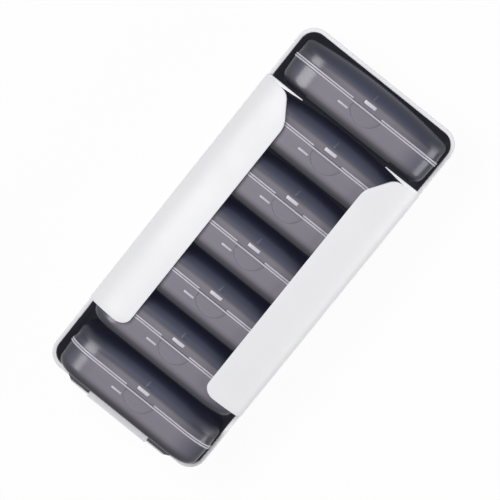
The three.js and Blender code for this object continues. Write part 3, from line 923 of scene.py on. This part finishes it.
def smoke_materials():
    """The smoke of the bases and of the lids: stops in millimetres from the seam lip and from mid length. Their
    darker stops are partly painted shade towards the gaps between the cases and towards the cases' ends.
    """
    base_across = [(0.0, violet(0.2)), (3.0, violet(0.19)), (7.6, violet(0.19)), (9.25, violet(0.14)),
                   (10.9, violet(0.05)), (12.5, violet(0.004)), (14.4, violet(0.004))]
    base_along = [(0.0, (1, 1, 1)), (27.0, (1, 1, 1)), (31.5, (0.87, 0.87, 0.88)), (35.8, (0.66, 0.67, 0.7)),
                  (41.0, (0.38, 0.4, 0.46)), (46.0, (0.05, 0.06, 0.08))]
    lid_across = [(0.0, violet(0.165)), (2.4, violet(0.17)), (3.3, violet(0.11)), (4.2, violet(0.055)),
                  (5.5, shaded_slope(0.055)), (7.5, shaded_slope(0.03)), (14.4, shaded_slope(0.015))]
    lid_along = [(0.0, (1, 1, 1)), (12.0, (1, 1, 1)), (25.0, (0.8, 0.8, 0.82)), (31.5, (0.62, 0.62, 0.65)),
                 (35.8, (0.5, 0.5, 0.54)), (41.0, (0.35, 0.37, 0.42)), (46.0, (0.05, 0.06, 0.08))]
    return (smoke("smoke_base", base_across, base_along, bow=BASE_FORM["bow"], slope_rougher=0.0),
            smoke("smoke_lid", lid_across, lid_along, bow=LID_FORM["bow"], slope_rougher=0.3))


def make_cases():
    """All cases share one base, one lid and one insert. Each is placed by its hinge pin."""
    pin_dark = moulded("dark_pin", dark=(0.02, 0.02, 0.025), light=(0.03, 0.03, 0.035), roughness=0.4)
    # The latch insert's pale colour is a painted highlight.
    latch_highlight = moulded("latch_painted_highlight", dark=(0.58, 0.57, 0.65), light=(0.64, 0.63, 0.72), roughness=0.3)
    # The seam lips and nibs share this pale colour. On the lips it is partly the thin plastic seen through and
    # partly a painted highlight on their edges.
    pale_lip_and_highlight = moulded("pale_lip_and_highlight", dark=(0.5, 0.485, 0.55), light=(0.56, 0.545, 0.61), roughness=0.3)
    pale_streak = moulded("pale_streak", dark=(0.045, 0.05, 0.075), light=(0.055, 0.06, 0.085), roughness=0.4)
    base, lid = base_mesh(), lid_mesh()
    for half, smoke_material in zip((base, lid), smoke_materials()):
        half.materials[SMOKE] = smoke_material
        half.materials[PALE] = pale_lip_and_highlight
        half.materials[STREAK] = pale_streak
    insert = covered(insert_mesh(), latch_highlight)
    for number in range(1, CASE_COUNT + 1):
        pin = f"case_{number}_hinge_pin"
        low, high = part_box(pin)
        place = (low + high) / 2
        piece(f"smoke_base_{number}", base, f"case_{number}", [f"case_{number}_base"], place)
        piece(f"smoke_lid_{number}", lid, f"lid_{number}", [f"case_{number}_lid"], place)
        piece(f"latch_pad_{number}", insert, f"lid_{number}", place=place)
        dress_node(pin, pin_dark, PIN_SHARP_DEGREES)


def seen_directly(tree):
    """One where a ray comes from the camera or from a glossy or clear surface, and zero where it lights."""
    path = tree.nodes.new("ShaderNodeLightPath")
    seen = path.outputs["Is Camera Ray"]
    for name in ("Is Glossy Ray", "Is Transmission Ray"):
        either = tree.nodes.new("ShaderNodeMath")
        either.operation = "MAXIMUM"
        tree.links.new(seen, either.inputs[0])
        tree.links.new(path.outputs[name], either.inputs[1])
        seen = either.outputs["Value"]
    return seen


def mixed_shader(tree, share, first, second, output):
    """A mix of two shaders by a share, linked to the tree's output."""
    mix = tree.nodes.new("ShaderNodeMixShader")
    tree.links.new(share, mix.inputs["Fac"])
    tree.links.new(first, mix.inputs[1])
    tree.links.new(second, mix.inputs[2])
    tree.links.new(mix.outputs["Shader"], tree.nodes[output].inputs["Surface"])


def floor_material():
    """White where it is seen, up to a share that keeps the object's shadow."""
    material = bpy.data.materials.new("floor_white")
    material.use_nodes = True
    tree = material.node_tree
    shader = tree.nodes["Principled BSDF"]
    shader.inputs["Base Color"].default_value = (FLOOR_TONE, FLOOR_TONE, FLOOR_TONE, 1)
    shader.inputs["Roughness"].default_value = FLOOR_ROUGHNESS
    shader.inputs["Specular IOR Level"].default_value = 0.0
    glow = tree.nodes.new("ShaderNodeEmission")
    glow.inputs["Strength"].default_value = 1.0
    share = tree.nodes.new("ShaderNodeMath")
    share.operation = "MULTIPLY"
    share.inputs[1].default_value = FLOOR_GLOW_SHARE
    tree.links.new(seen_directly(tree), share.inputs[0])
    mixed_shader(tree, share.outputs["Value"], shader.outputs["BSDF"], glow.outputs["Emission"], "Material Output")
    return material


def stage_floor():
    """A floor under the object, far wider than the picture."""
    mesh = bpy.data.meshes.new("floor")
    signs = ((-1, -1), (1, -1), (1, 1), (-1, 1))
    mesh.from_pydata([(x * FLOOR_REACH, y * FLOOR_REACH, 0) for x, y in signs], [], [(0, 1, 2, 3)])
    mesh.materials.append(floor_material())
    floor = bpy.data.objects.new("floor", mesh)
    bpy.context.scene.collection.objects.link(floor)


def world_light(strength):
    """An even light of a strength, and a white backdrop where the surroundings are seen."""
    world = bpy.data.worlds.new("studio")
    bpy.context.scene.world = world
    world.use_nodes = True
    tree = world.node_tree
    ambient = tree.nodes["Background"]
    ambient.inputs["Color"].default_value = (1, 1, 1, 1)
    ambient.inputs["Strength"].default_value = strength
    backdrop = tree.nodes.new("ShaderNodeBackground")
    backdrop.inputs["Color"].default_value = (1, 1, 1, 1)
    mixed_shader(tree, seen_directly(tree), ambient.outputs["Background"], backdrop.outputs["Background"],
                 "World Output")


def area_light(name, place, level_size, slope_size, power):
    """A soft oval light that faces the object. One size runs level, the other up the slope."""
    data = bpy.data.lights.new(name, "AREA")
    data.shape = "ELLIPSE"
    data.size = level_size
    data.size_y = slope_size
    data.energy = power
    light = bpy.data.objects.new(name, data)
    bpy.context.scene.collection.objects.link(light)
    light.location = Vector(place)
    light.rotation_euler = (Vector(LIGHT_AIM) - Vector(place)).to_track_quat("-Z", "Y").to_euler()


def make_camera():
    """The camera at the photograph's angle, fitted to the holder's edges and the cases' seams."""
    data = bpy.data.cameras.new("camera")
    data.sensor_width = CAMERA_SENSOR
    data.lens = CAMERA_LENS
    camera = bpy.data.objects.new("camera", data)
    bpy.context.scene.collection.objects.link(camera)
    camera.location = CAMERA_PLACE
    camera.rotation_euler = [math.radians(a) for a in CAMERA_TURN_DEGREES]
    bpy.context.scene.camera = camera


make_holder()
make_cases()
stage_floor()
world_light(WORLD_STRENGTH)
area_light("key", place=(-0.48, 0.0, 0.984), level_size=0.92, slope_size=0.64, power=9.0)
area_light("fill", place=(0.967, 0.22, 0.46), level_size=0.95, slope_size=0.6, power=6.0)
make_camera()
bpy.context.scene.view_settings.view_transform = "Standard"
